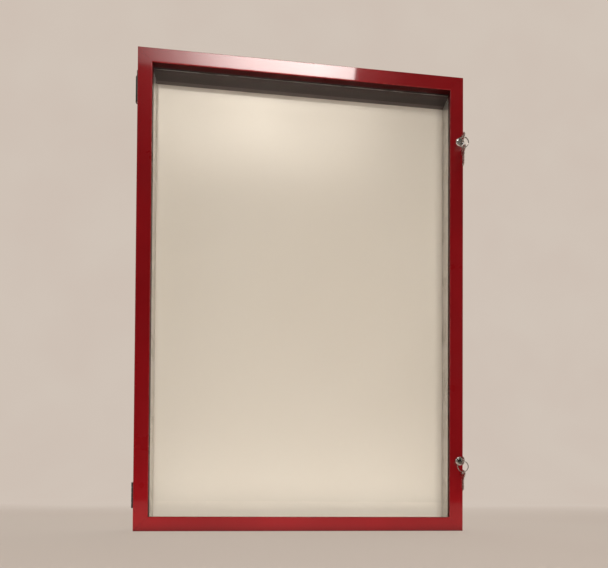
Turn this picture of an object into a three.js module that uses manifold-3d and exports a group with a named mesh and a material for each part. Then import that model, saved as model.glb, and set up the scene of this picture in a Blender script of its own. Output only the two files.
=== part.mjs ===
// Lockable glazed poster case, wall hung: a channel frame that holds a white back panel, and a glazed
// door on two side hinges with two key locks. Millimetres, +X right, +Y into the wall, +Z up.
// The origin is on the wall plane, in the middle of the top rail's back face.
import * as THREE from 'three';
import { mergeVertices } from 'three/addons/utils/BufferGeometryUtils.js';
import Module from 'manifold-3d';

const wasm = await Module();
wasm.setup();

// Overall
const outerWidth = 760;
const outerHeight = 1090;
const mitreGap = 0.1; // on each of the two faces of a mitre
const fit = 0.3; // clearance of a piece that lies in or against another

// Case channel, open towards the door, with a rebate behind for the panel
const caseDepth = 40;
const caseWall = 1.8;
const rebateWidth = 10;
const panelThickness = 3;
const retainerThickness = 3.2;
const hangLineInset = 9; // from the top of the case to the line of the origin
const keyholeSpacing = 500;
const keyholeEntryRadius = 4.6;
const keyholeSlotRadius = 2.4;
const keyholeDrop = 6; // from the slot's end to the entry hole
const keyholeInset = 5; // from the top of the case to the slot's end

// Door profile, a channel open to the back with a glazing ledge on its inner side
const doorGap = 0.8; // between the case and the closed door
const doorDepth = 20;
const doorWall = 2;
const arrisRadius = 1.5;
const ledgeDepth = 11.5; // from the front face to the back of the glazing ledge
const ledgeWidth = 9.2;
const glassThickness = 3;
const beadWidth = 5.4;

// Corner keys, L-shaped bars inside the channels
const keyLeg = 50;
const keyToScrew = 7.9; // between a key's end and the nearest hinge screw
const keyBar = 12;
const doorKeyDepth = 7;
const caseKeyDepth = 10;

// Hinges, with leaves on the outer side faces
const hingeLength = 58;
const knuckleCount = 5;
const knuckleGap = 0.3;
const barrelRadius = 5;
const pinRadius = 2.3;
const pinHeadRadius = 3.4;
const pinHeadHeight = 1.6;
const leafThickness = 2;
const leafDepth = 18;
const hingeScrewSpacing = 36;
const hingeScrewInset = 12; // from the hinge axis
const screwRadius = 1.8;
const screwHeadRadius = 3.6;
const screwHeadHeight = 2;
const hingeScrewLength = 10;

// Locks
const lockFromEnd = 165;
const bezelLip = 2.2; // how far the bezel stands out past the barrel
const bezelHeight = 9;
const bezelRound = 2.2;
const barrelBodyRadius = 8;
const barrelBodyLength = 24; // behind the door's front face
const grooveDepth = 1.3;
const clipThickness = 1.5;
const clipSide = 1; // how far the clip reaches past the barrel, sideways
const clipEnd = 2.5; // and up and down
const clipToWall = 0.5; // between the clip and the door's outer wall
const clipToLedge = 0.8; // and between the clip and the wall of the glazing ledge
const plugRadius = 5;
const plugRecess = 0.4;
const plugBehind = 3; // how far the plug runs on behind the barrel
const tailSide = 6;
const camThickness = 2;
const camWidth = 10;
const camScrewRadius = 1.5;
const camScrewHead = 4.2;
const camScrewLength = 6;
const strikeThickness = 2;
const strikeHeight = 24;
const strikeFoot = 19;
const strikeLip = 6.1; // length of the lip on the channel's inner wall
const strikeLap = 1.2; // between the locked cam and the strike

// Keys
const bladeLength = 28;
const bladeWidth = 8;
const keyThickness = 2;
const bowRadius = 10;
const bowHoleRadius = 2.7;
const bowHoleFromEnd = 6.5;
const notchDepth = 1.6;
const notchCount = 5;
const notchPitch = 4;
const ringRadius = 12.5; // to the middle of the wire
const wireRadius = 0.9;

// Worked out from the values above. Distances called y are along the part's +Y, negative towards the room.
const bezelRadius = barrelBodyRadius + bezelLip;
const clipWidth = 2 * (barrelBodyRadius + clipSide);
const clipHeight = 2 * (barrelBodyRadius + clipEnd);
const lockFromSide = doorWall + clipToWall + clipWidth / 2;
const ledgeInset = lockFromSide + clipWidth / 2 + clipToLedge + doorWall;
const doorFace = ledgeInset + ledgeWidth; // width of a door rail seen from the front
const strikeInset = lockFromSide + barrelBodyRadius + 2 * fit; // the lip stops clear of the lock's barrel
const channelFloor = strikeInset + strikeLip; // inset of the inner wall's channel side
const caseFace = channelFloor + caseWall; // width of the case channel, from outer to inner face
const hingeFromEnd = doorWall + fit + keyLeg + keyToScrew + screwRadius + hingeScrewSpacing / 2;
const halfWidth = outerWidth / 2;
const halfHeight = outerHeight / 2;
const caseFrontY = -caseDepth;
const doorBackY = caseFrontY - doorGap;
const doorFrontY = doorBackY - doorDepth;
const hingeAxisY = caseFrontY - doorGap / 2;
const hingeAxisX = -halfWidth - barrelRadius - fit;
const rebateDepth = retainerThickness + panelThickness + 3 * fit;
const rebateInset = caseFace - rebateWidth;
const lockX = halfWidth - lockFromSide;
const plugFaceY = doorFrontY - bezelHeight + plugRecess;
const barrelEndY = doorFrontY + barrelBodyLength;
const camFrontY = barrelEndY + plugBehind;
const camReach = channelFloor - caseWall - lockFromSide - 2 * fit; // just short of the strike's foot
const bowHoleY = doorFrontY - bezelHeight - fit - 2 * bowRadius + bowHoleFromEnd;
const wireDrop = bowHoleRadius - wireRadius - fit; // the wire lies this far under the middle of the hole

const steelGrey = [0x9a9a96, 0.35, 1];
const finish = {
  red: [0x7d0f18, 0.3, 0.1],
  satinAluminium: [0xa9a6a1, 0.4, 0.9],
  whitePanel: [0xe6dccf, 0.35, 0],
  clearSheet: [0xf4f6f4, 0.05, 0],
  blackSteel: [0x1d1a19, 0.45, 0.6],
  chrome: [0xd0d0d0, 0.12, 1],
  keySteel: [0xb8b6b0, 0.25, 1],
  zinc: steelGrey,
  blackRubber: [0x1b1b1c, 0.7, 0],
  greyPlastic: [0x55565a, 0.6, 0],
};

// ---- geometry helpers ----

/** The geometry with shared corners merged and its faces turned outwards. */
function closed(geometry) {
  const bare = geometry.clone();
  bare.deleteAttribute('normal');
  bare.deleteAttribute('uv');
  const merged = mergeVertices(bare, 1e-4);
  const at = merged.getAttribute('position');
  const index = merged.getIndex();
  const corner = (k) => new THREE.Vector3().fromBufferAttribute(at, index.getX(k));
  let volume = 0;
  for (let k = 0; k < index.count; k += 3) {
    volume += corner(k).dot(corner(k + 1).cross(corner(k + 2)));
  }
  if (volume < 0) {
    for (let k = 0; k < index.count; k += 3) {
      const second = index.getX(k + 1);
      index.setX(k + 1, index.getX(k + 2));
      index.setX(k + 2, second);
    }
  }
  return merged;
}

function toSolid(geometry) {
  const merged = closed(geometry);
  const vertProperties = new Float32Array(merged.getAttribute('position').array);
  const triVerts = new Uint32Array(merged.getIndex().array);
  return new wasm.Manifold(new wasm.Mesh({ numProp: 3, vertProperties, triVerts }));
}

function fromSolid(solid) {
  const { vertProperties, triVerts } = solid.getMesh();
  const geometry = new THREE.BufferGeometry();
  geometry.setAttribute('position', new THREE.BufferAttribute(vertProperties, 3));
  geometry.setIndex(new THREE.BufferAttribute(triVerts, 1));
  return geometry;
}

/** The first geometry joined with joins, less cuts. */
function shaped(geometry, joins, cuts) {
  let solid = toSolid(geometry);
  for (const piece of joins) solid = solid.add(toSolid(piece));
  for (const piece of cuts) solid = solid.subtract(toSolid(piece));
  return fromSolid(solid);
}

/** A box between two corners. */
function boxBetween([ax, ay, az], [bx, by, bz]) {
  const box = new THREE.BoxGeometry(Math.abs(bx - ax), Math.abs(by - ay), Math.abs(bz - az));
  return box.translate((ax + bx) / 2, (ay + by) / 2, (az + bz) / 2);
}

/** A round bar between two values along the axis 'x', 'y' or 'z', through the point given. */
function roundBar(axis, radius, from, to, [x, y, z], segments = 32) {
  const bar = new THREE.CylinderGeometry(radius, radius, Math.abs(to - from), segments);
  const middle = (from + to) / 2;
  if (axis === 'x') return bar.rotateZ(Math.PI / 2).translate(middle, y, z);
  if (axis === 'z') return bar.rotateX(Math.PI / 2).translate(x, y, middle);
  return bar.translate(x, middle, z);
}

/** Corners of a quarter round that goes from angle start to start + 90 degrees. */
function quarterRound(cx, cy, radius, start, steps = 4) {
  return Array.from({ length: steps + 1 }, (_, k) => {
    const angle = start + (k / steps) * (Math.PI / 2);
    return [cx + radius * Math.cos(angle), cy + radius * Math.sin(angle)];
  });
}

function shapeOf(corners) {
  return new THREE.Shape(corners.map(([a, b]) => new THREE.Vector2(a, b)));
}

/** Where a point of a rail's section lies on each side: inset from the outside, y, and which end. */
const sides = {
  top: (inset, y, end) => [end * (halfWidth - inset - mitreGap), y, halfHeight - inset],
  bottom: (inset, y, end) => [end * (halfWidth - inset - mitreGap), y, inset - halfHeight],
  left: (inset, y, end) => [inset - halfWidth, y, end * (halfHeight - inset - mitreGap)],
  right: (inset, y, end) => [halfWidth - inset, y, end * (halfHeight - inset - mitreGap)],
};

/** A bar of the given section, corners [inset, y], mitred at both ends, on one side of the frame. */
function mitredBar(section, side) {
  const bar = new THREE.ExtrudeGeometry(shapeOf(section), { depth: 1, bevelEnabled: false });
  const at = bar.getAttribute('position');
  for (let k = 0; k < at.count; k += 1) {
    const end = at.getZ(k) < 0.5 ? -1 : 1;
    at.setXYZ(k, ...sides[side](at.getX(k), at.getY(k), end));
  }
  return closed(bar);
}

/** A turned piece about an axis along Y: corners [radius, y], closed on itself unless it meets the axis. */
function turned(corners, x, z, segments = 32) {
  const points = corners.map(([r, y]) => new THREE.Vector2(r, y));
  if (corners[0][0] > 0) points.push(points[0].clone());
  return new THREE.LatheGeometry(points, segments).translate(x, 0, z);
}

/** A flat outline in the YZ plane, corners [y, z], given a thickness about x. */
function plateAcrossX(shape, thickness, x) {
  const plate = new THREE.ExtrudeGeometry(shape, {
    depth: thickness,
    bevelEnabled: false,
    curveSegments: 16,
  });
  // the outline's own axes become y and z, and its thickness runs along x
  const turn = new THREE.Matrix4().makeBasis(
    new THREE.Vector3(0, 1, 0),
    new THREE.Vector3(0, 0, 1),
    new THREE.Vector3(1, 0, 0),
  );
  return plate.applyMatrix4(turn).translate(x - thickness / 2, 0, 0);
}

// ---- assembly ----

const posterCase = new THREE.Group();
posterCase.position.z = hangLineInset - halfHeight;

function place(name, geometry, [color, roughness, metalness]) {
  const material = new THREE.MeshStandardMaterial({ color, roughness, metalness });
  const mesh = new THREE.Mesh(closed(geometry), material);
  mesh.name = name;
  posterCase.add(mesh);
}

// ---- case ----

const caseSection = [
  [0, 0],
  [rebateInset, 0],
  [rebateInset, -rebateDepth],
  [caseFace, -rebateDepth],
  [caseFace, caseFrontY],
  [channelFloor, caseFrontY],
  [channelFloor, -rebateDepth - caseWall],
  [rebateInset - caseWall, -rebateDepth - caseWall],
  [rebateInset - caseWall, -caseWall],
  [caseWall, -caseWall],
  [caseWall, caseFrontY],
  [0, caseFrontY],
];

const hingeZs = { upper: halfHeight - hingeFromEnd, lower: hingeFromEnd - halfHeight };
const lockZs = { upper: halfHeight - lockFromEnd, lower: lockFromEnd - halfHeight };
const screwHoleRadius = screwRadius + fit;

/** Heights of the screws in the hinge at z. */
const hingeScrewZs = (z) => [z + hingeScrewSpacing / 2, z - hingeScrewSpacing / 2];

/** Holes through the left side, at the distance y of a hinge leaf's screws. */
function hingeHoles(y) {
  return Object.values(hingeZs)
    .flatMap(hingeScrewZs)
    .map((z) => roundBar('x', screwHoleRadius, -halfWidth - 5, -halfWidth + 5, [0, y, z], 16));
}

const caseScrewY = hingeAxisY + hingeScrewInset;
const doorScrewY = hingeAxisY - hingeScrewInset;

/** A keyhole through the top rail's back wall: an entry hole and a slot that runs up from it. */
function keyhole(x) {
  const slotZ = halfHeight - keyholeInset;
  const entryZ = slotZ - keyholeDrop;
  const depth = [-2 * caseWall, caseWall];
  const slot = boxBetween([x - keyholeSlotRadius, depth[0], entryZ], [x + keyholeSlotRadius, depth[1], slotZ]);
  return [
    roundBar('y', keyholeEntryRadius, ...depth, [x, 0, entryZ], 24),
    slot,
    roundBar('y', keyholeSlotRadius, ...depth, [x, 0, slotZ], 24),
  ];
}

// the strike lies just in front of the locked cam, on the inner wall of the channel
const strikeBackY = camFrontY - strikeLap;
const strikeFrontY = strikeBackY - strikeThickness;
const strikeRivetY = strikeFrontY + strikeFoot / 2 + strikeThickness;
const innerWallX = halfWidth - channelFloor;

function caseFrame() {
  const keyholes = [-keyholeSpacing / 2, keyholeSpacing / 2].flatMap(keyhole);
  place('case_top_rail', shaped(mitredBar(caseSection, 'top'), [], keyholes), finish.satinAluminium);
  place('case_bottom_rail', mitredBar(caseSection, 'bottom'), finish.satinAluminium);
  const left = shaped(mitredBar(caseSection, 'left'), [], hingeHoles(caseScrewY));
  place('case_left_side', left, finish.satinAluminium);
  const rivetHoles = Object.values(lockZs).map((z) =>
    roundBar('x', screwHoleRadius, innerWallX - 5, innerWallX + 5, [0, strikeRivetY, z], 16),
  );
  const right = shaped(mitredBar(caseSection, 'right'), [], rivetHoles);
  place('case_right_side', right, finish.satinAluminium);
}

/** An L-shaped key in one corner of a channel; across and up are the corner's signs. */
function cornerKey(across, up, inset, frontY, depth) {
  const arm = (near, far) => [
    [near, near],
    [far, near],
    [far, near + keyBar],
    [near + keyBar, near + keyBar],
    [near + keyBar, far],
    [near, far],
  ];
  const outline = arm(inset, inset + keyLeg).map(([a, b]) => [
    across * (halfWidth - a),
    up * (halfHeight - b),
  ]);
  const key = new THREE.ExtrudeGeometry(shapeOf(outline), { depth, bevelEnabled: false });
  return key.rotateX(Math.PI / 2).translate(0, frontY + depth, 0);
}

const corners = { top_left: [-1, 1], top_right: [1, 1], bottom_left: [-1, -1], bottom_right: [1, -1] };

function cornerKeys() {
  for (const [corner, [across, up]] of Object.entries(corners)) {
    const caseKeyY = -caseWall - fit - caseKeyDepth;
    const inCase = cornerKey(across, up, caseWall + fit, caseKeyY, caseKeyDepth);
    place(`case_corner_key_${corner}`, inCase, finish.zinc);
    const inDoor = cornerKey(across, up, doorWall + fit, doorFrontY + doorWall + fit, doorKeyDepth);
    place(`door_corner_key_${corner}`, inDoor, finish.zinc);
  }
}

function backPanel() {
  const half = [halfWidth - rebateInset - fit, halfHeight - rebateInset - fit];
  const backY = -retainerThickness - 2 * fit;
  const frontY = backY - panelThickness;
  const panel = boxBetween([-half[0], frontY, -half[1]], [half[0], backY, half[1]]);
  place('back_panel', panel, finish.whitePanel);
  const retainer = [
    [rebateInset + fit, -fit],
    [caseFace - fit, -fit],
    [caseFace - fit, backY + fit],
    [rebateInset + fit, backY + fit],
  ];
  for (const side of Object.keys(sides)) {
    place(`panel_retainer_${side}`, mitredBar(retainer, side), finish.greyPlastic);
  }
}

// ---- door ----

const ledgeBackY = doorFrontY + ledgeDepth;
const glassFrontY = ledgeBackY + fit;
const glassBackY = glassFrontY + glassThickness;

const doorSection = [
  ...quarterRound(arrisRadius, doorFrontY + arrisRadius, arrisRadius, Math.PI),
  ...quarterRound(doorFace - arrisRadius, doorFrontY + arrisRadius, arrisRadius, -Math.PI / 2),
  [doorFace, ledgeBackY],
  [ledgeInset, ledgeBackY],
  [ledgeInset, doorBackY],
  [ledgeInset - doorWall, doorBackY],
  [ledgeInset - doorWall, ledgeBackY - doorWall],
  [doorFace - doorWall, ledgeBackY - doorWall],
  [doorFace - doorWall, doorFrontY + doorWall],
  [doorWall, doorFrontY + doorWall],
  [doorWall, doorBackY],
  [0, doorBackY],
];

function doorFrame() {
  place('door_top_rail', mitredBar(doorSection, 'top'), finish.red);
  place('door_bottom_rail', mitredBar(doorSection, 'bottom'), finish.red);
  const left = shaped(mitredBar(doorSection, 'left'), [], hingeHoles(doorScrewY));
  place('door_left_stile', left, finish.red);
  const lockHoles = Object.values(lockZs).map((z) =>
    roundBar('y', barrelBodyRadius + fit, doorFrontY - 5, doorFrontY + 5, [lockX, 0, z]),
  );
  place('door_right_stile', shaped(mitredBar(doorSection, 'right'), [], lockHoles), finish.red);
}

function glazing() {
  const half = [halfWidth - ledgeInset - fit, halfHeight - ledgeInset - fit];
  const sheet = boxBetween([-half[0], glassFrontY, -half[1]], [half[0], glassBackY, half[1]]);
  place('door_glazing', sheet, finish.clearSheet);
  const bead = [
    [ledgeInset + fit, glassBackY + fit],
    [ledgeInset + fit + beadWidth, glassBackY + fit],
    [ledgeInset + fit + beadWidth, doorBackY - fit],
    [ledgeInset + fit, doorBackY - fit],
  ];
  for (const side of Object.keys(sides)) {
    place(`glazing_bead_${side}`, mitredBar(bead, side), finish.blackRubber);
  }
}

// ---- hinges ----

/** The heights between which knuckle number k of the hinge at z lies. */
function knuckleSpan(z, k) {
  const length = (hingeLength - (knuckleCount - 1) * knuckleGap) / knuckleCount;
  const low = z - hingeLength / 2 + k * (length + knuckleGap);
  return [low, low + length];
}

/** A leaf with its knuckles; towards is +1 for the case and -1 for the door. */
function hingeLeaf(z, towards) {
  const reach = barrelRadius + fit;
  // the plate stops clear of the other leaf's knuckles
  const plateStart = Math.sqrt(reach ** 2 - (reach - leafThickness) ** 2) + fit;
  const outerX = -halfWidth - leafThickness;
  const alongY = (distance) => hingeAxisY + towards * distance;
  const plate = boxBetween(
    [outerX, alongY(plateStart), z - hingeLength / 2],
    [-halfWidth, alongY(leafDepth), z + hingeLength / 2],
  );
  const joins = [];
  for (let k = towards > 0 ? 0 : 1; k < knuckleCount; k += 2) {
    const [low, high] = knuckleSpan(z, k);
    joins.push(boxBetween([outerX, hingeAxisY, low], [-halfWidth, alongY(plateStart + 1), high]));
    joins.push(roundBar('z', barrelRadius, low, high, [hingeAxisX, hingeAxisY, 0]));
  }
  const cuts = hingeScrewZs(z).map((screwZ) =>
    roundBar('x', screwHoleRadius, outerX - 1, -halfWidth + 1, [0, alongY(hingeScrewInset), screwZ], 16),
  );
  cuts.push(roundBar('z', pinRadius + fit, z - hingeLength, z + hingeLength, [hingeAxisX, hingeAxisY, 0]));
  return shaped(plate, joins, cuts);
}

/** A pin the length of the hinge, with a domed head on its upper end. */
function hingePin(z) {
  const top = z + hingeLength / 2 + fit;
  const profile = [
    [0, z - hingeLength / 2],
    [pinRadius, z - hingeLength / 2],
    [pinRadius, top],
    [pinHeadRadius, top],
    [pinHeadRadius, top + pinHeadHeight / 2],
    [pinHeadRadius / 2, top + pinHeadHeight],
    [0, top + pinHeadHeight],
  ];
  const pin = new THREE.LatheGeometry(profile.map(([r, h]) => new THREE.Vector2(r, h)), 24);
  return pin.rotateX(Math.PI / 2).translate(hingeAxisX, hingeAxisY, 0);
}

/** A domed screw along X: its head's seat is at x, and it runs towards +X or -X. */
function sideScrew(x, y, z, length, towards) {
  const dome = Array.from({ length: 5 }, (_, k) => {
    const angle = (k / 4) * (Math.PI / 2);
    return [screwHeadRadius * Math.cos(angle), -screwHeadHeight * (0.4 + 0.6 * Math.sin(angle))];
  });
  dome[4][0] = 0;
  const profile = [[0, length], [screwRadius, length], [screwRadius, 0], [screwHeadRadius, 0], ...dome];
  const screw = new THREE.LatheGeometry(profile.map(([r, h]) => new THREE.Vector2(r, h)), 16);
  return screw.rotateZ((-towards * Math.PI) / 2).translate(x, y, z);
}

function hinges() {
  for (const [end, z] of Object.entries(hingeZs)) {
    place(`${end}_hinge_case_leaf`, hingeLeaf(z, 1), finish.blackSteel);
    place(`${end}_hinge_door_leaf`, hingeLeaf(z, -1), finish.blackSteel);
    place(`${end}_hinge_pin`, hingePin(z), finish.zinc);
    hingeScrewZs(z).forEach((screwZ, k) => {
      const seatX = -halfWidth - leafThickness;
      const inCase = sideScrew(seatX, caseScrewY, screwZ, hingeScrewLength, 1);
      place(`${end}_hinge_case_screw_${k + 1}`, inCase, finish.blackSteel);
      const inDoor = sideScrew(seatX, doorScrewY, screwZ, hingeScrewLength, 1);
      place(`${end}_hinge_door_screw_${k + 1}`, inDoor, finish.blackSteel);
    });
  }
}

// ---- locks ----

/** The lock's fixed housing: a proud round bezel, and a barrel with a groove for its clip. */
function lockHousing(z) {
  const bezelFaceY = doorFrontY - bezelHeight;
  const bore = plugRadius + fit;
  const grooveY = doorFrontY + doorWall;
  const grooveEndY = grooveY + clipThickness + 2 * fit;
  const round = quarterRound(bezelRadius - bezelRound, bezelFaceY + bezelRound, bezelRound, -Math.PI / 2);
  const profile = [
    [bore, bezelFaceY],
    ...round,
    [bezelRadius, doorFrontY],
    [barrelBodyRadius, doorFrontY],
    [barrelBodyRadius, grooveY],
    [barrelBodyRadius - grooveDepth, grooveY],
    [barrelBodyRadius - grooveDepth, grooveEndY],
    [barrelBodyRadius, grooveEndY],
    [barrelBodyRadius, barrelEndY],
    [bore, barrelEndY],
  ];
  return turned(profile, lockX, z);
}

/** The spring clip that holds the housing behind the door's front wall: a plate with an open slot. */
function lockClip(z) {
  const frontY = doorFrontY + doorWall + fit;
  const backY = frontY + clipThickness;
  const slot = barrelBodyRadius - grooveDepth + fit;
  const low = z - clipHeight / 2;
  const plate = boxBetween([lockX - clipWidth / 2, frontY, low], [lockX + clipWidth / 2, backY, low + clipHeight]);
  const mouth = boxBetween([lockX - slot, frontY - 1, low - 1], [lockX + slot, backY + 1, z]);
  return shaped(plate, [], [mouth, roundBar('y', slot, frontY - 1, backY + 1, [lockX, 0, z])]);
}

/** The turning plug: a round bar with a keyway in front and a square, drilled tail behind. */
function lockPlug(z) {
  const keyway = [keyThickness / 2 + fit, bladeWidth / 2 + fit];
  const tailEndY = camFrontY + camThickness - fit;
  const bar = roundBar('y', plugRadius, plugFaceY, camFrontY, [lockX, 0, z]);
  const tail = boxBetween(
    [lockX - tailSide / 2, camFrontY - 1, z - tailSide / 2],
    [lockX + tailSide / 2, tailEndY, z + tailSide / 2],
  );
  const slot = boxBetween(
    [lockX - keyway[0], plugFaceY - 1, z - keyway[1]],
    [lockX + keyway[0], doorFrontY - bezelHeight + bladeLength + fit, z + keyway[1]],
  );
  const drilledTo = camFrontY + camThickness - camScrewLength - fit;
  const hole = roundBar('y', camScrewRadius + fit, drilledTo, tailEndY + 1, [lockX, 0, z], 16);
  return shaped(bar, [tail], [slot, hole]);
}

/** The cam at rest, hanging down from the plug's tail, with a round end and a square hole. */
function lockCam(z) {
  const backY = camFrontY + camThickness;
  const endZ = z - camReach + camWidth / 2;
  const bar = boxBetween([lockX - camWidth / 2, camFrontY, endZ], [lockX + camWidth / 2, backY, z + camWidth / 2]);
  const hole = tailSide / 2 + fit;
  const square = boxBetween([lockX - hole, camFrontY - 1, z - hole], [lockX + hole, backY + 1, z + hole]);
  return shaped(bar, [roundBar('y', camWidth / 2, camFrontY, backY, [lockX, 0, endZ])], [square]);
}

function camScrew(z) {
  const seatY = camFrontY + camThickness;
  const profile = [
    [0, seatY - camScrewLength],
    [camScrewRadius, seatY - camScrewLength],
    [camScrewRadius, seatY],
    [camScrewHead, seatY],
    [camScrewHead, seatY + 1.2],
    [camScrewHead / 2, seatY + 2.2],
    [0, seatY + 2.2],
  ];
  return turned(profile, lockX, z, 20);
}

/** An angle on the channel's inner wall, whose lip stands in front of the locked cam. */
function strike(z) {
  const foot = caseWall;
  const section = [
    [innerWallX, strikeFrontY],
    [halfWidth - strikeInset, strikeFrontY],
    [halfWidth - strikeInset, strikeBackY],
    [innerWallX + foot, strikeBackY],
    [innerWallX + foot, strikeFrontY + strikeFoot],
    [innerWallX, strikeFrontY + strikeFoot],
  ];
  const angle = new THREE.ExtrudeGeometry(shapeOf(section), { depth: strikeHeight, bevelEnabled: false });
  const hole = roundBar('x', screwHoleRadius, innerWallX - 1, innerWallX + foot + 1, [0, strikeRivetY, z], 16);
  return shaped(angle.translate(0, 0, z - strikeHeight / 2), [], [hole]);
}

function locks() {
  for (const [end, z] of Object.entries(lockZs)) {
    place(`${end}_lock_housing`, lockHousing(z), finish.chrome);
    place(`${end}_lock_clip`, lockClip(z), finish.zinc);
    place(`${end}_lock_plug`, lockPlug(z), finish.chrome);
    place(`${end}_lock_cam`, lockCam(z), finish.zinc);
    place(`${end}_cam_screw`, camScrew(z), finish.zinc);
    place(`${end}_strike`, strike(z), finish.zinc);
    const rivet = sideScrew(innerWallX + caseWall, strikeRivetY, z, 2 * caseWall, -1);
    place(`${end}_strike_rivet`, rivet, finish.zinc);
  }
}

// ---- keys ----

/** A key's outline, [along, across], with the bow's hole at the origin and the blade towards +along. */
function keyOutline() {
  const bowCentre = bowRadius - bowHoleFromEnd;
  const half = bladeWidth / 2;
  const neck = Math.asin(half / bowRadius);
  const bowEnd = bowCentre + bowRadius * Math.cos(neck);
  const tip = bowCentre + bowRadius + bladeLength;
  const outline = new THREE.Shape();
  outline.moveTo(bowEnd, half);
  outline.absarc(bowCentre, 0, bowRadius, neck, 2 * Math.PI - neck, false);
  for (let k = 0; k < notchCount; k += 1) {
    const start = tip - bladeWidth / 2 - (notchCount - k) * notchPitch;
    const depth = notchDepth * (k % 2 === 0 ? 1 : 0.6);
    outline.lineTo(start, -half);
    outline.lineTo(start + notchPitch / 2, -half + depth);
    outline.lineTo(start + notchPitch, -half);
  }
  outline.lineTo(tip - bladeWidth / 2, -half);
  outline.lineTo(tip, 0);
  outline.lineTo(tip - bladeWidth / 2, half);
  outline.closePath();
  const hole = new THREE.Path();
  hole.absarc(0, 0, bowHoleRadius, 0, 2 * Math.PI, true);
  outline.holes.push(hole);
  return outline;
}

/** The key in the lock, its blade towards +Y. */
function insertedKey(z) {
  return plateAcrossX(keyOutline(), keyThickness, lockX).translate(0, bowHoleY, z);
}

/** The second key, its blade down, on the lowest point of the ring. */
function spareKey(z) {
  const key = plateAcrossX(keyOutline(), keyThickness, 0).rotateX(-Math.PI / 2);
  return key.translate(lockX, bowHoleY, z - 2 * wireDrop - 2 * ringRadius);
}

function keyRing(z) {
  const ring = new THREE.TorusGeometry(ringRadius, wireRadius, 10, 40);
  return ring.rotateX(Math.PI / 2).translate(lockX, bowHoleY, z - wireDrop - ringRadius);
}

function keys() {
  for (const [end, z] of Object.entries(lockZs)) {
    place(`${end}_key`, insertedKey(z), finish.keySteel);
    place(`${end}_key_ring`, keyRing(z), finish.keySteel);
    place(`${end}_spare_key`, spareKey(z), finish.keySteel);
  }
}

caseFrame();
backPanel();
doorFrame();
glazing();
cornerKeys();
hinges();
locks();
keys();

export default posterCase;
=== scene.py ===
"""A lockable poster case in red and grey: its bars, hinges, locks and keys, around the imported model."""
import math

import bpy
import numpy as np
from mathutils import Matrix, Vector
from mathutils.geometry import tessellate_polygon


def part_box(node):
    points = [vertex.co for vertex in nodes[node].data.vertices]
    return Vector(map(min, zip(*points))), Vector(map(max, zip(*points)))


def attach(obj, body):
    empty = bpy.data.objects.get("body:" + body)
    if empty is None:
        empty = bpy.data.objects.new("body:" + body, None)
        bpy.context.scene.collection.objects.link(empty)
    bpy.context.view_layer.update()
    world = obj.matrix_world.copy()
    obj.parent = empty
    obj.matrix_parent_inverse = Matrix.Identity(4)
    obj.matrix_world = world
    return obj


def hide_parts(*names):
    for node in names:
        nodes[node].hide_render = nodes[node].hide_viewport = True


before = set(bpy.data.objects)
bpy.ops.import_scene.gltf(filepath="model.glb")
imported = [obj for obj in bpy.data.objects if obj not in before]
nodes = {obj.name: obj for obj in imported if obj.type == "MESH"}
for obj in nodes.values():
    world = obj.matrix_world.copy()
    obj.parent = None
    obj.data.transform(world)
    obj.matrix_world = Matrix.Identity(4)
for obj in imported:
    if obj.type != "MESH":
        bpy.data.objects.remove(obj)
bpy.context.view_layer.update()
scene = bpy.context.scene
scene.view_settings.view_transform = "Standard"

mm = 0.001


# ---- camera ----

def stand_camera(place, yaw, pitch, roll, lens, shift):
    """A camera at place that looks along +Y, turned by yaw to the right, then up by pitch, then by roll."""
    yaw, pitch, roll = np.radians([yaw, pitch, roll])
    forward = np.array([math.sin(yaw) * math.cos(pitch), math.cos(yaw) * math.cos(pitch), math.sin(pitch)])
    level = np.array([math.cos(yaw), -math.sin(yaw), 0.0])
    upright = np.cross(level, forward)
    right = math.cos(roll) * level + math.sin(roll) * upright
    up = math.cos(roll) * upright - math.sin(roll) * level
    camera = bpy.data.objects.new("camera", bpy.data.cameras.new("camera"))
    camera.matrix_world = Matrix(np.column_stack([
        np.append(right, 0), np.append(up, 0), np.append(-forward, 0), np.append(place, 1)]).tolist())
    camera.data.sensor_width = 36
    camera.data.lens = lens
    camera.data.shift_x, camera.data.shift_y = shift
    camera.data.clip_start, camera.data.clip_end = 0.01, 100
    scene.collection.objects.link(camera)
    scene.camera = camera


stand_camera((-0.0703, -0.9381, -0.9989), yaw=4.640, pitch=0.653, roll=0.342, lens=22.68, shift=(0, 0.3404))


# ---- the case's own measures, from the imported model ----

left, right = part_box("case_left_side")[0].x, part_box("case_right_side")[1].x
bottom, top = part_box("case_bottom_rail")[0].z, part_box("case_top_rail")[1].z
case_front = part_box("case_left_side")[0].y
door_front, door_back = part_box("door_left_stile")[0].y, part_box("door_left_stile")[1].y
case_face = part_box("case_left_side")[1].x - left
door_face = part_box("door_left_stile")[1].x - left
ledge_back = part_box("door_glazing")[0].y - 0.3 * mm
ledge_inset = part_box("door_glazing")[0].x - left - 0.3 * mm
rebate_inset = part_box("back_panel")[0].x - left - 0.3 * mm
rebate_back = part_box("back_panel")[0].y - 0.3 * mm
case_wall, door_wall, mitre_gap = 1.8 * mm, 2 * mm, 0.1 * mm
ends = ("upper", "lower")


# ---- shapes ----

def unit(v):
    return v / np.linalg.norm(v, axis=-1, keepdims=True)


def across(v):
    """Vectors in a plane, turned a quarter turn to the left."""
    return np.stack([-v[..., 1], v[..., 0]], -1)


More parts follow.
